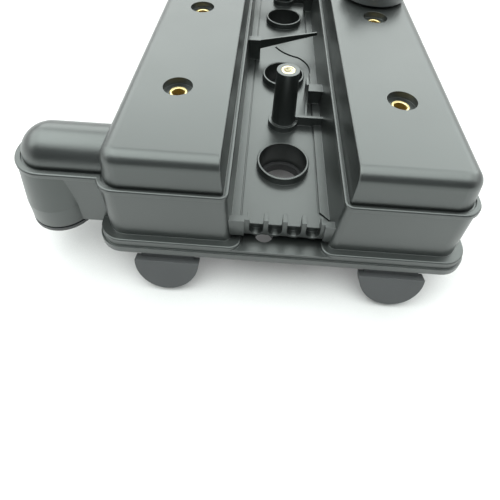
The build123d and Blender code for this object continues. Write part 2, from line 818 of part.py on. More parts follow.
# ================================================================ breather outlet ring and seal
outlet_y = breather_y - outlet_lean
with BuildPart() as breather_seal:
    with BuildSketch(Plane((breather_axis_x, outlet_y, outlet_height - ring_gap))):
        Circle(outlet_radius - ring_round)
        Circle(outlet_bore_radius + ring_clearance, mode=Mode.SUBTRACT)
    extrude(amount=ring_gap)

breather_seal.part.label = "breather_seal"
export_step(breather_seal.part, "parts/breather_seal.step")

with BuildPart() as breather_ring:
    ring_top = outlet_height - ring_gap
    with BuildSketch(Plane((breather_axis_x, outlet_y, ring_top - ring_thickness))):
        Circle(ring_radius)
    extrude(amount=ring_thickness)
    chamfer(breather_ring.edges().group_by(Axis.Z)[0], ring_round)
    with BuildSketch(Plane((breather_axis_x, outlet_y, ring_top))):
        Circle(outlet_bore_radius - ring_clearance)
    extrude(amount=ring_spigot)
    with Locations((breather_axis_x, outlet_y, 0)):
        Cylinder(ring_bore_radius, through, mode=Mode.SUBTRACT)

breather_ring.part.label = "breather_ring"
export_step(breather_ring.part, "parts/breather_ring.step")

# ================================================================ oil filler cap and its seal
neck_top = top_height + neck_height
with BuildPart() as filler_cap_seal:
    with BuildSketch(Plane((filler_x, filler_y, neck_top))):
        Circle(neck_radius - cap_seal_inset)
        Circle(cap_plug_radius + cap_seal_clearance, mode=Mode.SUBTRACT)
    extrude(amount=cap_seal_thickness)

filler_cap_seal.part.label = "filler_cap_seal"
export_step(filler_cap_seal.part, "parts/filler_cap_seal.step")

with BuildPart() as filler_cap:
    skirt_foot = top_height + cap_gap
    roof = neck_top + cap_seal_thickness
    with BuildSketch(Plane((filler_x, filler_y, skirt_foot))):
        Circle(cap_radius)
    extrude(amount=cap_body_height)
    fillet(filler_cap.edges().group_by(Axis.Z)[-1], cap_round)
    chamfer(filler_cap.edges().group_by(Axis.Z)[0], cap_foot_chamfer)
    with BuildSketch(Plane((filler_x, filler_y, skirt_foot))):
        Circle(neck_radius + cap_skirt_clearance)
    extrude(amount=roof - skirt_foot, mode=Mode.SUBTRACT)
    # Threaded plug that goes down the neck.
    with BuildSketch(Plane((filler_x, filler_y, roof - cap_plug_length))):
        Circle(cap_plug_radius)
        Circle(cap_plug_radius - cap_wall, mode=Mode.SUBTRACT)
    extrude(amount=cap_plug_length + overlap / 2)
    # Grip across the top.
    grip_foot = roof + overlap
    with BuildSketch(Plane((filler_x, filler_y, grip_foot))):
        SlotOverall(2 * (cap_radius - cap_grip_inset), cap_grip_width, rotation=cap_grip_angle)
    extrude(amount=skirt_foot + cap_body_height + cap_grip_rise - grip_foot)
    fillet(filler_cap.edges().group_by(Axis.Z)[-1], cap_grip_round)

filler_cap.part.label = "filler_cap"
export_step(filler_cap.part, "parts/filler_cap.step")
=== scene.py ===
"""Finishes, small hardware, studio and camera for a moulded twin-cam valve cover.

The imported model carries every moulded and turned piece.  This file dresses those pieces,
replaces the plain threaded inserts with cut threads, and lights the cover on a pale table.
Lengths are metres in the cover's own frame: X across the cover, Y along the crankshaft, Z up
from the gasket plane.
"""

import logging
import math
from dataclasses import dataclass, field
from enum import Enum
from typing import Callable, Sequence

import bmesh
import bpy
from mathutils import Matrix, Vector


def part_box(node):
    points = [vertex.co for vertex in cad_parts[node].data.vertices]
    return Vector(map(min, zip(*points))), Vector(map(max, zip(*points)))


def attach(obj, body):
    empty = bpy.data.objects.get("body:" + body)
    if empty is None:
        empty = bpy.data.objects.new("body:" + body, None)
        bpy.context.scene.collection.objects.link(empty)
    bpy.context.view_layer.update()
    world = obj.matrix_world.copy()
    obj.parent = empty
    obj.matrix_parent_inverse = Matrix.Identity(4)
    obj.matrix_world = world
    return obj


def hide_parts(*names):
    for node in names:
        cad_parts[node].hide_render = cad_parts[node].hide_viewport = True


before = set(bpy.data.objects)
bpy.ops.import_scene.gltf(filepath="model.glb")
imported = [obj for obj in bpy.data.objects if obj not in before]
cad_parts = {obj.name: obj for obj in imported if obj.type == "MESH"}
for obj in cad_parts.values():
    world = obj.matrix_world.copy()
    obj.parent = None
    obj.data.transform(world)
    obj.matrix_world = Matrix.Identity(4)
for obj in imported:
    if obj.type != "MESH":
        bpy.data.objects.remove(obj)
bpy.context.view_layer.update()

MM = 0.001
COVER_BODY = "cover"

Colour = tuple[float, float, float]
WHITE: Colour = (1.0, 1.0, 1.0)
Socket = bpy.types.NodeSocket
Link = float | Socket

log = logging.getLogger("valve_cover")


# ---------------------------------------------------------------- node graphs
class Graph:
    """Places and joins the nodes of one material or node group."""

    def __init__(self, tree: bpy.types.NodeTree) -> None:
        """Args:
            tree: the node tree that takes the nodes.
        """
        self.tree = tree

    def node(self, kind: str, **settings: object) -> bpy.types.Node:
        """Adds one node.

        Args:
            kind: the node's type, without its ShaderNode prefix.
            settings: properties of the node, such as its operation.

        Returns:
            The new node.
        """
        name = kind if kind.startswith("NodeGroup") else f"ShaderNode{kind}"
        made = self.tree.nodes.new(name)
        for key, value in settings.items():
            setattr(made, key, value)
        return made

    def feed(self, socket: Socket, value: object) -> None:
        """Joins an output to a socket, or sets the socket to a plain value.

        Args:
            socket: the input socket.
            value: an output socket, a number or a colour.
        """
        if isinstance(value, bpy.types.NodeSocket):
            self.tree.links.new(value, socket)
        else:
            socket.default_value = value

    def math(self, operation: str, first: Link, second: Link = 0.0, third: Link = 0.0) -> Socket:
        """Adds a Math node.

        Args:
            operation: the sum to do.
            first: first term.
            second: second term.
            third: third term, where the operation has one.

        Returns:
            The result's socket.
        """
        made = self.node("Math", operation=operation)
        for socket, value in zip(made.inputs, (first, second, third)):
            self.feed(socket, value)
        return made.outputs[0]

    def ramp(self, value: Link, low: Link, high: Link, to_low: Link = 0.0, to_high: Link = 1.0) -> Socket:
        """Maps a range smoothly to another.

        Args:
            value: what is mapped.
            low: value that gives to_low.
            high: value that gives to_high.
            to_low: result at low.
            to_high: result at high.

        Returns:
            The result's socket.
        """
        made = self.node("MapRange", interpolation_type="SMOOTHSTEP")
        for socket, number in zip(made.inputs, (value, low, high, to_low, to_high)):
            self.feed(socket, number)
        return made.outputs[0]

    def blend(self, share: Link, first: object, second: object) -> Socket:
        """Mixes two colours.

        Args:
            share: how much of the second shows.
            first: first colour.
            second: second colour.

        Returns:
            The mixed colour's socket.
        """
        made = self.node("Mix", data_type="RGBA")
        self.feed(made.inputs[0], share)
        self.feed(made.inputs[6], first)
        self.feed(made.inputs[7], second)
        return made.outputs[2]

    def noise(self, place: Socket, size: Link, detail: float = 2.0, roughness: float = 0.5) -> Socket:
        """Adds noise with features of a given length.

        Args:
            place: coordinates in metres.
            size: length of one feature in metres.
            detail: how many finer layers are added.
            roughness: how strong the finer layers are.

        Returns:
            The noise value's socket.
        """
        made = self.node("TexNoise")
        self.feed(made.inputs["Vector"], place)
        self.feed(made.inputs["Scale"], self.math("DIVIDE", 1.0, size))
        made.inputs["Detail"].default_value = detail
        made.inputs["Roughness"].default_value = roughness
        return made.outputs["Fac"]

    def place(self) -> Socket:
        """Gives the point's coordinates on the cover, in metres."""
        return self.node("TexCoord").outputs["Object"]


def rgba(colour: Colour) -> tuple[float, float, float, float]:
    """Adds full opacity to a colour."""
    return (*colour, 1.0)


# ---------------------------------------------------------------- shared effects
class Effect(Enum):
    """Surface effects that more than one finish uses."""

    MOULD_GRAIN = "mould_grain"
    HANDLED_SHEEN = "handled_sheen"
    WORN_EDGE = "worn_edge"
    DUST_SPECKS = "dust_specks"
    TURNED_RINGS = "turned_rings"


@dataclass
class EffectShelf:
    """Builds each shared effect once and hands out its node group.

    Args:
        groups: the effects made so far.
    """

    groups: dict[Effect, bpy.types.NodeTree] = field(default_factory=dict)

    def get(self, effect: Effect) -> bpy.types.NodeTree:
        """Gives an effect's node group, made on first use.

        Args:
            effect: which effect.

        Returns:
            The node group.
        """
        if effect not in self.groups:
            makers: dict[Effect, Callable[[], bpy.types.NodeTree]] = {
                Effect.MOULD_GRAIN: self.mould_grain,
                Effect.HANDLED_SHEEN: self.handled_sheen,
                Effect.WORN_EDGE: self.worn_edge,
                Effect.DUST_SPECKS: self.dust_specks,
                Effect.TURNED_RINGS: self.turned_rings,
            }
            self.groups[effect] = makers[effect]()
        return self.groups[effect]

    @staticmethod
    def shell(
        effect: Effect, inputs: dict[str, float], outputs: dict[str, str]
    ) -> tuple[Graph, dict[str, Socket], dict[str, Socket]]:
        """Starts an empty group with its named sockets.

        Args:
            effect: which effect the group is for.
            inputs: each input's name and usual value.
            outputs: each output's name and socket type.

        Returns:
            The graph, the sockets that bring the inputs in, and the ones that take results.
        """
        group = bpy.data.node_groups.new(effect.value, "ShaderNodeTree")
        for name, value in inputs.items():
            socket = group.interface.new_socket(name, in_out="INPUT", socket_type="NodeSocketFloat")
            socket.default_value = value
        for name, kind in outputs.items():
            group.interface.new_socket(name, in_out="OUTPUT", socket_type=kind)
        graph = Graph(group)
        entry = graph.node("NodeGroupInput")
        leave = graph.node("NodeGroupOutput")
        return graph, dict(entry.outputs.items()), dict(leave.inputs.items())

    def mould_grain(self) -> bpy.types.NodeTree:
        """Spark-eroded texture that a steel mould leaves, as a height from 0 to 1."""
        graph, have, give = self.shell(
            Effect.MOULD_GRAIN, {"Grain Size": 0.0004, "Flow Share": 0.3}, {"Height": "NodeSocketFloat"}
        )
        place = graph.place()
        grain = graph.noise(place, have["Grain Size"], detail=3.0, roughness=0.65)
        flow_size = graph.math("MULTIPLY", have["Grain Size"], 26.0)
        flow = graph.noise(place, flow_size, detail=1.0)
        height = graph.math("MULTIPLY_ADD", flow, have["Flow Share"], grain)
        graph.feed(give["Height"], height)
        return graph.tree

    def handled_sheen(self) -> bpy.types.NodeTree:
        """Patches where handling has polished or dulled the surface."""
        graph, have, give = self.shell(
            Effect.HANDLED_SHEEN,
            {"Roughness": 0.4, "Spread": 0.06, "Patch Size": 0.05},
            {"Roughness": "NodeSocketFloat", "Patch": "NodeSocketFloat"},
        )
        place = graph.place()
        patch = graph.noise(place, have["Patch Size"], detail=4.0, roughness=0.55)
        centred = graph.math("SUBTRACT", patch, 0.5)
        swing = graph.math("MULTIPLY", have["Spread"], 2.0)
        rough = graph.math("MULTIPLY_ADD", centred, swing, have["Roughness"])
        graph.feed(give["Roughness"], rough)
        graph.feed(give["Patch"], patch)
        return graph.tree

    def worn_edge(self) -> bpy.types.NodeTree:
        """Rounded edge normal, and a mask of the edges that handling has rubbed."""
        graph, have, give = self.shell(
            Effect.WORN_EDGE,
            {"Radius": 0.0005, "Amount": 0.5},
            {"Normal": "NodeSocketVector", "Edge": "NodeSocketFloat"},
        )
        bevel = graph.node("Bevel", samples=6)
        graph.feed(bevel.inputs["Radius"], have["Radius"])
        geometry = graph.node("NewGeometry")
        dot = graph.node("VectorMath", operation="DOT_PRODUCT")
        graph.feed(dot.inputs[0], bevel.outputs[0])
        graph.feed(dot.inputs[1], geometry.outputs["Normal"])
        bend = graph.ramp(dot.outputs["Value"], 0.995, 0.9)
        broken = graph.noise(graph.place(), 0.004, detail=4.0, roughness=0.7)
        rubbed = graph.ramp(broken, 0.42, 0.62)
        edge = graph.math("MULTIPLY", graph.math("MULTIPLY", bend, rubbed), have["Amount"])
        graph.feed(give["Normal"], bevel.outputs[0])
        graph.feed(give["Edge"], edge)
        return graph.tree

    def dust_specks(self) -> bpy.types.NodeTree:
        """Mask of the few pale specks that lie on faces that look up."""
        graph, have, give = self.shell(
            Effect.DUST_SPECKS,
            {"Spacing": 0.02, "Speck Size": 0.0004, "Share": 0.4},
            {"Specks": "NodeSocketFloat"},
        )
        cells = graph.node("TexVoronoi", feature="F1", distance="EUCLIDEAN")
        graph.feed(cells.inputs["Vector"], graph.place())
        graph.feed(cells.inputs["Scale"], graph.math("DIVIDE", 1.0, have["Spacing"]))
        pick = graph.node("TexWhiteNoise", noise_dimensions="3D")
        graph.feed(pick.inputs["Vector"], cells.outputs["Position"])
        kept = graph.math("LESS_THAN", pick.outputs["Value"], have["Share"])
        reach = graph.math("DIVIDE", have["Speck Size"], have["Spacing"])
        ragged = graph.noise(graph.place(), 0.0005, detail=3.0)
        size = graph.math("MULTIPLY", reach, graph.math("MULTIPLY_ADD", ragged, 1.2, 0.2))
        inside = graph.math("LESS_THAN", cells.outputs["Distance"], size)
        facing = graph.node("SeparateXYZ")
        graph.feed(facing.inputs[0], graph.node("NewGeometry").outputs["Normal"])
        up = graph.math("GREATER_THAN", facing.outputs["Z"], 0.85)
        graph.feed(give["Specks"], graph.math("MULTIPLY", graph.math("MULTIPLY", inside, kept), up))
        return graph.tree

    def turned_rings(self) -> bpy.types.NodeTree:
        """Height of the fine rings that a lathe leaves round each piece's own axis."""
        graph, have, give = self.shell(
            Effect.TURNED_RINGS,
            {"Row X": 0.0588, "Pitch Y": 0.0912, "First Y": 0.0456, "Feed": 0.0002},
            {"Height": "NodeSocketFloat"},
        )
        split = graph.node("SeparateXYZ")
        graph.feed(split.inputs[0], graph.place())
        across = graph.math("SUBTRACT", graph.math("ABSOLUTE", split.outputs["X"]), have["Row X"])
        half = graph.math("MULTIPLY", have["Pitch Y"], 0.5)
        moved = graph.math("ADD", graph.math("SUBTRACT", split.outputs["Y"], have["First Y"]), half)
        along = graph.math("SUBTRACT", graph.math("FLOORED_MODULO", moved, have["Pitch Y"]), half)
        squares = graph.math("ADD", graph.math("POWER", across, 2.0), graph.math("POWER", along, 2.0))
        radius = graph.math("SQRT", squares)
        travel = graph.math("ADD", radius, graph.math("MULTIPLY", split.outputs["Z"], 0.7))
        turns = graph.math("DIVIDE", travel, have["Feed"])
        wave = graph.math("SINE", graph.math("MULTIPLY", turns, math.tau))
        graph.feed(give["Height"], graph.math("MULTIPLY_ADD", wave, 0.5, 0.5))
        return graph.tree


EFFECTS = EffectShelf()

CLOUDING = 0.22  # how far a compound's colour drifts either way
PATCH_SIZE = 38 * MM
DUST_SPACING = 24 * MM
DUST_SIZE = 0.45 * MM
DUST_COLOUR: Colour = (0.75, 0.75, 0.73)
DUST_ROUGHENS = 0.4
TOOL_FEED = 0.22 * MM
RING_DEPTH = 0.008 * MM
STAIN_STRENGTH = 0.45


# ---------------------------------------------------------------- finishes
@dataclass(frozen=True)
class MouldedFinish:
    """A moulded plastic or rubber surface.

    Args:
        name: the material's name.
        colour: base colour of the compound.
        pale: colour of rubbed edges.
        roughness: usual roughness.
        spread: how far handling moves the roughness.
        ior: index of refraction.
        gloss_tint: colour of the surface's reflections.
        grain_size: length of one grain of the mould texture.
        grain_depth: depth of the mould texture.
        edge_radius: how far edges are rounded in the light.
        edge_share: how strongly rubbed edges show.
        specks: share of dust specks kept, 0 for none.
    """

    name: str
    colour: Colour
    pale: Colour
    roughness: float
    spread: float = 0.05
    ior: float = 1.6
    gloss_tint: Colour = WHITE
    grain_size: float = 0.45 * MM
    grain_depth: float = 0.02 * MM
    edge_radius: float = 0.35 * MM
    edge_share: float = 0.35
    specks: float = 0.0

    def effect(self, graph: Graph, effect: Effect, **values: float) -> bpy.types.Node:
        """Places a shared effect with this finish's own values.

        Args:
            graph: the material's graph.
            effect: which effect.
            values: the group's inputs, with spaces as underscores.

        Returns:
            The group's node.
        """
        made = graph.node("Group", node_tree=EFFECTS.get(effect))
        for key, value in values.items():
            made.inputs[key.replace("_", " ")].default_value = value
        return made

    def make(self) -> bpy.types.Material:
        """Builds the material.

        Returns:
            The new material.
        """
        material = bpy.data.materials.new(self.name)
        material.use_nodes = True
        graph = Graph(material.node_tree)
        shader = material.node_tree.nodes["Principled BSDF"]
        shader.inputs["IOR"].default_value = self.ior
        shader.inputs["Specular Tint"].default_value = rgba(self.gloss_tint)
        sheen = self.effect(
            graph, Effect.HANDLED_SHEEN, Roughness=self.roughness, Spread=self.spread, Patch_Size=PATCH_SIZE
        )
        edge = self.effect(graph, Effect.WORN_EDGE, Radius=self.edge_radius, Amount=self.edge_share)
        grain = self.effect(graph, Effect.MOULD_GRAIN, Grain_Size=self.grain_size, Flow_Share=0.5)
        dark, light = (tuple(c * share for c in self.colour) for share in (1 - CLOUDING, 1 + CLOUDING))
        tint = graph.blend(sheen.outputs["Patch"], rgba(dark), rgba(light))
        colour = graph.blend(edge.outputs["Edge"], tint, rgba(self.pale))
        roughness = sheen.outputs["Roughness"]
        if self.specks > 0.0:
            dust = self.effect(
                graph, Effect.DUST_SPECKS, Spacing=DUST_SPACING, Speck_Size=DUST_SIZE, Share=self.specks
            )
            colour = graph.blend(dust.outputs["Specks"], colour, rgba(DUST_COLOUR))
            rougher = graph.math("MULTIPLY", dust.outputs["Specks"], DUST_ROUGHENS)
            roughness = graph.math("ADD", roughness, rougher)
        bump = graph.node("Bump")
        bump.inputs["Strength"].default_value = 1.0
        bump.inputs["Distance"].default_value = self.grain_depth
        graph.feed(bump.inputs["Height"], grain.outputs["Height"])
        graph.feed(bump.inputs["Normal"], edge.outputs["Normal"])
        graph.feed(shader.inputs["Base Color"], colour)
        graph.feed(shader.inputs["Roughness"], roughness)
        graph.feed(shader.inputs["Normal"], bump.outputs["Normal"])
        return material


@dataclass(frozen=True)
class TurnedBrass:
    """Brass turned on a lathe, bright on its lands, with painted shade darkening its bore and sides and real
    brown tarnish in random patches.

    Args:
        name: the material's name.
        bright: colour of the fresh metal.
        tarnish_and_shade: colour of the brown tarnish patches, which also serves as painted shade on the
            bore and the sides.
        row_x: distance of the axes from the middle of the cover.
        pitch_y: spacing of the axes along the cover.
        first_y: place of one axis along the cover.
        roughness: roughness of the lands.
        side_roughness: how much rougher the bore and the sides are.
    """

    name: str
    bright: Colour
    tarnish_and_shade: Colour
    row_x: float
    pitch_y: float
    first_y: float
    roughness: float = 0.3
    side_roughness: float = 0.22

    def make(self) -> bpy.types.Material:
        """Builds the material.

        Returns:
            The new material.
        """
        material = bpy.data.materials.new(self.name)
        material.use_nodes = True
        graph = Graph(material.node_tree)
        shader = material.node_tree.nodes["Principled BSDF"]
        shader.inputs["Metallic"].default_value = 1.0
        rings = graph.node("Group", node_tree=EFFECTS.get(Effect.TURNED_RINGS))
        for name, value in {"Row X": self.row_x, "Pitch Y": self.pitch_y, "First Y": self.first_y}.items():
            rings.inputs[name].default_value = value
        rings.inputs["Feed"].default_value = TOOL_FEED
        sheen = graph.node("Group", node_tree=EFFECTS.get(Effect.HANDLED_SHEEN))
        sheen.inputs["Roughness"].default_value = self.roughness
        sheen.inputs["Spread"].default_value = 0.08
        sheen.inputs["Patch Size"].default_value = 3 * MM
        facing = graph.node("SeparateXYZ")
        graph.feed(facing.inputs[0], graph.node("NewGeometry").outputs["Normal"])
        # painted shade: faces that don't look up, the bore and the sides, take the darker colour; the same
        # mask makes them rougher
        side = graph.ramp(facing.outputs["Z"], 0.75, 0.25)
        stained = graph.math("MULTIPLY", graph.ramp(sheen.outputs["Patch"], 0.3, 0.75), STAIN_STRENGTH)
        # the darker colour shows where the painted side shade or the real tarnish patches are stronger
        share = graph.math("MAXIMUM", side, stained)
        graph.feed(shader.inputs["Base Color"], graph.blend(share, rgba(self.bright), rgba(self.tarnish_and_shade)))
        roughness = graph.math("MULTIPLY_ADD", side, self.side_roughness, sheen.outputs["Roughness"])
        graph.feed(shader.inputs["Roughness"], roughness)
        bump = graph.node("Bump")
        bump.inputs["Distance"].default_value = RING_DEPTH
        graph.feed(bump.inputs["Height"], rings.outputs["Height"])
        graph.feed(shader.inputs["Normal"], bump.outputs["Normal"])
        return material


NYLON_GLOSS_TINT: Colour = (0.935, 1.0, 0.98)

BODY_FINISH = MouldedFinish(
    "black_nylon_body", (0.0105, 0.012, 0.0115), (0.09, 0.096, 0.094), 0.33,
    ior=1.92, gloss_tint=NYLON_GLOSS_TINT, specks=0.22,
)
SHELL_FINISH = MouldedFinish(
    "black_nylon_shell", (0.0115, 0.013, 0.0125), (0.09, 0.096, 0.094), 0.34,
    ior=1.92, gloss_tint=NYLON_GLOSS_TINT, specks=0.30,
)
BAFFLE_FINISH = MouldedFinish(
    "natural_black_baffle", (0.030, 0.030, 0.029), (0.09, 0.09, 0.09), 0.48, ior=1.55, edge_share=0.15
)
CAP_FINISH = MouldedFinish(
    "filler_cap_nylon", (0.075, 0.083, 0.084), (0.11, 0.12, 0.12), 0.42, ior=1.7, grain_depth=0.03 * MM
)
RING_FINISH = MouldedFinish(
    "breather_ring_nylon", (0.030, 0.033, 0.035), (0.10, 0.10, 0.10), 0.42, ior=1.6
)
GASKET_FINISH = MouldedFinish(
    "gasket_rubber", (0.098, 0.103, 0.106), (0.12, 0.12, 0.12), 0.62, ior=1.52,
    grain_size=0.3 * MM, grain_depth=0.03 * MM, edge_share=0.2, specks=0.35,
)
SEAL_FINISH = MouldedFinish(
    "seal_rubber", (0.028, 0.029, 0.030), (0.06, 0.06, 0.06), 0.5, ior=1.5, grain_depth=0.012 * MM
)
# each brass's second colour is its tarnish and the painted shade of its bore and sides
SLEEVE_BRASS = TurnedBrass(
    "sleeve_brass", (0.80, 0.68, 0.36), (0.56, 0.42, 0.13), 58.8 * MM, 91.2 * MM, 45.6 * MM
)
INSERT_BRASS = TurnedBrass(
    "insert_brass", (0.84, 0.78, 0.55), (0.24, 0.17, 0.07), 0.0, 172.0 * MM, 62.8 * MM, roughness=0.4
)


def dress(node: str, material: bpy.types.Material) -> bpy.types.Object:
    """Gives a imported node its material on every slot.

    Args:
        node: the node's name.
        material: its finish.

    Returns:
        The node's object.
    """
    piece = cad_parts[node]
    if not piece.data.materials:
        piece.data.materials.append(material)
    for slot in piece.material_slots:
        slot.material = material
    log.info("dressed %s in %s", node, material.name)
    return piece


def add_piece(
    name: str, shape: bmesh.types.BMesh, material: bpy.types.Material, body: str
) -> bpy.types.Object:
    """Turns a finished mesh into a piece that rides on a body.

    Args:
        name: the piece's name.
        shape: its mesh, which is freed.
        material: its finish.
        body: the body that it rides on.

    Returns:
        The new object.
    """
    bmesh.ops.recalc_face_normals(shape, faces=shape.faces)
    mesh = bpy.data.meshes.new(name)
    shape.to_mesh(mesh)
    shape.free()
    mesh.shade_smooth()
    piece = bpy.data.objects.new(name, mesh)
    piece.data.materials.append(material)
    bpy.context.scene.collection.objects.link(piece)
    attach(piece, body)
    log.info("built %s on %s with %d faces", name, body, len(mesh.polygons))
    return piece


# ---------------------------------------------------------------- the cover's pieces
@dataclass
class MouldedCover:
    """The body and the two upper shells welded to it.

    Args:
        body_node: the moulded body.
        shell_nodes: the two upper shells.
    """

    body_node: str = "cover_body"
    shell_nodes: Sequence[str] = ("left_upper_shell", "right_upper_shell")

    def build(self) -> None:
        """Dresses the body and the shells."""
        dress(self.body_node, BODY_FINISH.make())
        shell = SHELL_FINISH.make()
        for node in self.shell_nodes:
            dress(node, shell)


@dataclass
class OilBaffles:
    """Plates under the boxes that keep oil out of the breather.

    Args:
        nodes: the two plates.
    """

    nodes: Sequence[str] = ("left_baffle", "right_baffle")

    def build(self) -> None:
        """Dresses the plates."""
        finish = BAFFLE_FINISH.make()
        for node in self.nodes:
            dress(node, finish)


@dataclass
class SealingSet:
    """The gasket with its half-moons and the seals round the plug wells.

    Args:
        gasket_node: the gasket.
        seal_nodes: the small seals.
    """

    gasket_node: str = "cover_gasket"
    seal_nodes: Sequence[str] = (
        *(f"plug_well_seal_{n}" for n in range(1, 5)),
        "breather_seal",
        "filler_cap_seal",
    )

    def build(self) -> None:
        """Dresses the gasket and the seals."""
        dress(self.gasket_node, GASKET_FINISH.make())
        finish = SEAL_FINISH.make()
        for node in self.seal_nodes:
            dress(node, finish)


@dataclass
class BrassHardware:
    """Compression sleeves in the bolt columns and threaded inserts in the posts.

    Args:
        sleeve_nodes: the sleeves.
        insert_nodes: the inserts, near and far.
        thread_depth: depth of the thread.
        thread_pitch: advance of the thread in one turn.
        bore_radius: radius at the thread's crests.
        chamfer: lead-in at both ends.
        groove_half: half the width of the groove, in pitches.
        bevel: bevel round the outer edges.
        turn_steps: corners in one ring.
        steps_per_pitch: rings in one turn of the thread.
    """

    sleeve_nodes: Sequence[str] = tuple(
        f"{side}_bolt_sleeve_{n}" for side in ("left", "right") for n in range(1, 5)
    )
    insert_nodes: Sequence[str] = ("near_post_insert", "far_post_insert")
    thread_depth: float = 0.5 * MM
    thread_pitch: float = 1.0 * MM
    bore_radius: float = 2.5 * MM
    chamfer: float = 0.45 * MM
    groove_half: float = 0.42
    bevel: float = 0.25 * MM
    turn_steps: int = 40
    steps_per_pitch: int = 8

    def bore_wall(self, turn: float, depth: float) -> float:
        """Radius of the cut thread.

        Args:
            turn: angle round the axis as a share of one turn.
            depth: distance below the upper face.

        Returns:
            The radius there.
        """
        phase = (depth / self.thread_pitch + turn) % 1.0
        groove = max(0.0, 1.0 - abs(phase - 0.5) / self.groove_half)
        return self.bore_radius + self.thread_depth * groove

    def threaded_insert(self, node: str, finish: bpy.types.Material) -> bpy.types.Object:
        """Builds one insert with a cut thread, in place of the plain node.

        Args:
            node: the plain insert.
            finish: the insert's finish.

        Returns:
            The new piece.
        """
        low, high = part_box(node)
        centre = (low + high) / 2
        outer = (high.x - low.x) / 2
        length = high.z - low.z
        rows = int(length / self.thread_pitch * self.steps_per_pitch)
        shape = bmesh.new()
        rings: list[list[bmesh.types.BMVert]] = []

        def ring(radius_at: Callable[[float], float], z: float) -> None:
            """Adds one ring of corners at a height.

            Args:
                radius_at: gives the radius at a share of a turn.
                z: the ring's height.
            """
            corners = []
            for step in range(self.turn_steps):
                turn = step / self.turn_steps
                radius = radius_at(turn)
                angle = turn * math.tau
                corners.append(
                    shape.verts.new(
                        (centre.x + radius * math.cos(angle), centre.y + radius * math.sin(angle), z)
                    )
                )
            rings.append(corners)

        ring(lambda turn: outer, low.z + self.bevel)
        ring(lambda turn: outer, high.z - self.bevel)
        ring(lambda turn: outer - self.bevel, high.z)
        ring(lambda turn: self.bore_radius + self.chamfer, high.z)
        for row in range(rows + 1):
            depth = self.chamfer + row / rows * (length - 2 * self.chamfer)
            ring(lambda turn, depth=depth: self.bore_wall(turn, depth), high.z - depth)
        ring(lambda turn: self.bore_radius + self.chamfer, low.z)
        ring(lambda turn: outer - self.bevel, low.z)
        for upper, lower in zip(rings, rings[1:] + rings[:1]):
            for step in range(self.turn_steps):
                after = (step + 1) % self.turn_steps
                shape.faces.new((upper[step], upper[after], lower[after], lower[step]))
        piece = add_piece(f"{node}_threaded", shape, finish, COVER_BODY)
        piece.data.set_sharp_from_angle(angle=math.radians(35))
        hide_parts(node)
        return piece

    def build(self) -> None:
        """Dresses the sleeves and cuts the inserts' threads."""
        finish = SLEEVE_BRASS.make()
        for node in self.sleeve_nodes:
            dress(node, finish)
        insert_finish = INSERT_BRASS.make()
        for node in self.insert_nodes:
            dress(node, insert_finish)
            self.threaded_insert(node, insert_finish)


@dataclass
class BreatherOutlet:
    """Snap ring under the breather dome.

    Args:
        ring_node: the ring.
    """

    ring_node: str = "breather_ring"

    def build(self) -> None:
        """Dresses the ring."""
        dress(self.ring_node, RING_FINISH.make())


@dataclass
class OilFiller:
    """Cap that turns and lifts out of the filler neck.

    Args:
        cap_node: the cap.
    """

    cap_node: str = "filler_cap"

    def build(self) -> None:
        """Dresses the cap."""
        dress(self.cap_node, CAP_FINISH.make())


# ---------------------------------------------------------------- studio
SOFTBOX_TINT: Colour = (0.945, 1.0, 0.972)


@dataclass(frozen=True)
class Softbox:
    """A rectangular softbox that faces the cover.

    Args:
        name: the lamp's name.
        size: width and height of its face.
        elevation: height of its centre as an angle, 0 beyond the cover's far end and a right
            angle straight over it.
        distance: distance from the cover.
        level: brightness of its face.
        turn: its bearing, 0 beyond the far end and positive to the right.
    """

    name: str
    size: tuple[float, float]
    elevation: float
    distance: float
    level: float
    turn: float = 0.0

    def hang(self, aim: Vector) -> None:
        """Hangs the softbox where it faces the cover.

        Args:
            aim: point that it faces.
        """
        light = bpy.data.lights.new(self.name, "AREA")
        light.shape = "RECTANGLE"
        light.size_y, light.size = self.size
        light.color = SOFTBOX_TINT
        light.energy = self.level * math.pi * light.size * light.size_y
        lamp = bpy.data.objects.new(self.name, light)
        flat = math.cos(self.elevation)
        away = Vector((math.sin(self.turn) * flat, math.cos(self.turn) * flat, math.sin(self.elevation)))
        lamp.location = aim + away * self.distance
        lamp.rotation_euler = away.to_track_quat("Z", "X").to_euler()
        lamp.visible_camera = False
        bpy.context.scene.collection.objects.link(lamp)


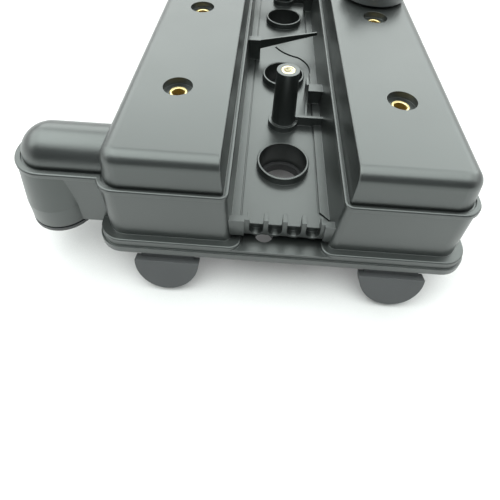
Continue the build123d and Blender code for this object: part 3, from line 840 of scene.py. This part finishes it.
@dataclass
class Studio:
    """White table, white surround, four softboxes and a black flag behind the camera.

    Args:
        table_half: half the side of the table.
        table_tilt: slope of the table that carries the half-moons and the far gasket edge.
        near_rest: point under the half-moons that the table touches.
        table_glow: even glow that the table shows to the eye and to reflections, darkened near the cover by
            painted shade.
        painted_shade_reach: how far from the cover the table's glow is darkened by painted shade.
        world_level: how strongly the surround lights matt surfaces.
        table_colour: colour of the table.
        flag_colour: colour of the flag's cloth.
        softboxes: the softboxes, behind the cover, over it and at its two sides.
        aim: point that they face.
        flag_size: width and height of the flag.
        flag_elevation: height of its centre as an angle, measured as a softbox's is.
        flag_distance: distance from the cover.
    """

    table_half: float = 6.0
    table_tilt: float = math.radians(3.2)
    near_rest: Vector = field(default_factory=lambda: Vector((0.0, -204 * MM, -22.4 * MM)))
    table_glow: float = 0.4
    painted_shade_reach: float = 40 * MM
    world_level: float = 0.1
    table_colour: Colour = (0.63, 0.635, 0.632)
    flag_colour: Colour = (0.2, 0.2, 0.21)
    softboxes: Sequence[Softbox] = (
        Softbox("back_softbox", (3.8, 0.95), math.radians(37), 1.5, 2.6, turn=math.radians(10)),
        Softbox("overhead_softbox", (1.9, 1.9), math.radians(98), 1.5, 2.45),
        Softbox("left_softbox", (1.5, 1.2), math.radians(42), 1.5, 2.5, turn=math.radians(-88)),
        Softbox("right_softbox", (1.5, 1.0), math.radians(42), 1.5, 1.3, turn=math.radians(88)),
    )
    aim: Vector = field(default_factory=lambda: Vector((0.0, -120 * MM, 60 * MM)))
    flag_size: tuple[float, float] = (3.4, 1.22)
    flag_elevation: float = math.radians(160)
    flag_distance: float = 1.2

    @staticmethod
    def seen(graph: Graph) -> Socket:
        """Tells what the eye sees, straight or in a reflection, from what lights the cover.

        Args:
            graph: graph of the material or the world.

        Returns:
            1 for rays of the camera, reflections and clear surfaces, else 0.
        """
        path = graph.node("LightPath")
        seen = graph.math("MAXIMUM", path.outputs["Is Camera Ray"], path.outputs["Is Glossy Ray"])
        return graph.math("MAXIMUM", seen, path.outputs["Is Transmission Ray"])

    def flag(self) -> None:
        """Hangs a black card behind the camera, which shows only as the dark side of reflections."""
        shape = bmesh.new()
        half_wide, half_high = self.flag_size[0] / 2, self.flag_size[1] / 2
        signs = ((-1, -1), (1, -1), (1, 1), (-1, 1))
        shape.faces.new([shape.verts.new((x * half_wide, y * half_high, 0.0)) for x, y in signs])
        mesh = bpy.data.meshes.new("black_flag")
        shape.to_mesh(mesh)
        shape.free()
        card = bpy.data.objects.new("black_flag", mesh)
        away = Vector((0.0, math.cos(self.flag_elevation), math.sin(self.flag_elevation)))
        turn = away.to_track_quat("Z", "Y").to_matrix().to_4x4()
        card.matrix_world = Matrix.Translation(self.aim + away * self.flag_distance) @ turn
        card.visible_camera = False
        card.visible_diffuse = False
        card.visible_shadow = False
        bpy.context.scene.collection.objects.link(card)
        material = bpy.data.materials.new("black_cloth")
        material.use_nodes = True
        shader = material.node_tree.nodes["Principled BSDF"]
        shader.inputs["Base Color"].default_value = rgba(self.flag_colour)
        shader.inputs["Roughness"].default_value = 0.9
        card.data.materials.append(material)

    def table(self) -> None:
        """Lays the white table, which takes the cover's cast shadow from the softboxes and has painted shade
        darkening its glow near and under the cover.
        """
        shape = bmesh.new()
        half = self.table_half
        bmesh.ops.create_grid(shape, x_segments=1, y_segments=1, size=half)
        mesh = bpy.data.meshes.new("table")
        shape.to_mesh(mesh)
        shape.free()
        table = bpy.data.objects.new("table", mesh)
        table.matrix_world = Matrix.Translation(self.near_rest) @ Matrix.Rotation(self.table_tilt, 4, "X")
        bpy.context.scene.collection.objects.link(table)
        material = bpy.data.materials.new("white_table")
        material.use_nodes = True
        graph = Graph(material.node_tree)
        shader = material.node_tree.nodes["Principled BSDF"]
        shader.inputs["Base Color"].default_value = rgba(self.table_colour)
        shader.inputs["Roughness"].default_value = 0.6
        seen = self.seen(graph)
        # painted shade: ambient occlusion darkens the table's glow near and under the cover
        painted_shade_ao = graph.node("AmbientOcclusion", samples=8)
        painted_shade_ao.inputs["Distance"].default_value = self.painted_shade_reach
        unshaded_share = graph.math("POWER", painted_shade_ao.outputs["AO"], 2.0)
        shader.inputs["Emission Color"].default_value = rgba(WHITE)
        graph.feed(
            shader.inputs["Emission Strength"],
            graph.math("MULTIPLY", graph.math("MULTIPLY", seen, unshaded_share), self.table_glow),
        )
        table.data.materials.append(material)

    def surround(self) -> None:
        """Sets a white surround that lights the cover softly."""
        world = bpy.data.worlds.new("white_surround")
        bpy.context.scene.world = world
        world.use_nodes = True
        graph = Graph(world.node_tree)
        background = world.node_tree.nodes["Background"]
        background.inputs["Color"].default_value = rgba(WHITE)
        strength = graph.math("MULTIPLY_ADD", self.seen(graph), 1.0 - self.world_level, self.world_level)
        graph.feed(background.inputs["Strength"], strength)

    def build(self) -> None:
        """Sets the table, the surround, the flag and the softboxes."""
        bpy.context.scene.view_settings.view_transform = "Standard"
        self.table()
        self.surround()
        self.flag()
        for box in self.softboxes:
            box.hang(self.aim)
        log.info("studio set")


@dataclass
class BenchCamera:
    """Camera that looks down along the cover from its breather end.

    Args:
        place: the camera's position.
        yaw: turn about Z, 0 along the cover.
        pitch: downward angle.
        roll: turn about the line of sight.
        focal: focal length in widths of the frame.
        centre: where the line of sight meets the frame, from its upper left corner, in widths.
    """

    place: Vector = field(default_factory=lambda: Vector((-14.23, -319.97, 198.69)) * MM)
    yaw: float = -0.0316829
    pitch: float = 0.714093
    roll: float = 0.0450255
    focal: float = 437.26 / 500
    centre: tuple[float, float] = (0.5, 119.7 / 500)

    def build(self) -> None:
        """Sets up the camera and makes it the scene's own."""
        forward = Vector((
            math.sin(self.yaw) * math.cos(self.pitch),
            math.cos(self.yaw) * math.cos(self.pitch),
            -math.sin(self.pitch),
        ))
        level = Vector((math.cos(self.yaw), -math.sin(self.yaw), 0.0))
        upright = level.cross(forward)
        right = math.cos(self.roll) * level + math.sin(self.roll) * upright
        up = math.cos(self.roll) * upright - math.sin(self.roll) * level
        data = bpy.data.cameras.new("bench_camera")
        data.sensor_fit = "HORIZONTAL"
        data.sensor_width = 36.0
        data.lens = self.focal * data.sensor_width
        data.shift_x = 0.5 - self.centre[0]
        data.shift_y = self.centre[1] - 0.5
        data.clip_start = 0.01
        camera = bpy.data.objects.new("bench_camera", data)
        camera.matrix_world = Matrix((
            (right.x, up.x, -forward.x, self.place.x),
            (right.y, up.y, -forward.y, self.place.y),
            (right.z, up.z, -forward.z, self.place.z),
            (0.0, 0.0, 0.0, 1.0),
        ))
        bpy.context.scene.collection.objects.link(camera)
        bpy.context.scene.camera = camera
        log.info("camera placed")


def main() -> None:
    """Builds each sub-assembly in order, then the studio and the camera."""
    logging.basicConfig(level=logging.INFO, format="%(name)s: %(message)s")
    assemblies = (MouldedCover(), OilBaffles(), SealingSet(), BrassHardware(), BreatherOutlet(), OilFiller())
    for assembly in assemblies:
        assembly.build()
        log.info("finished %s", type(assembly).__name__)
    Studio().build()
    BenchCamera().build()


if __name__ == "__main__":
    main()
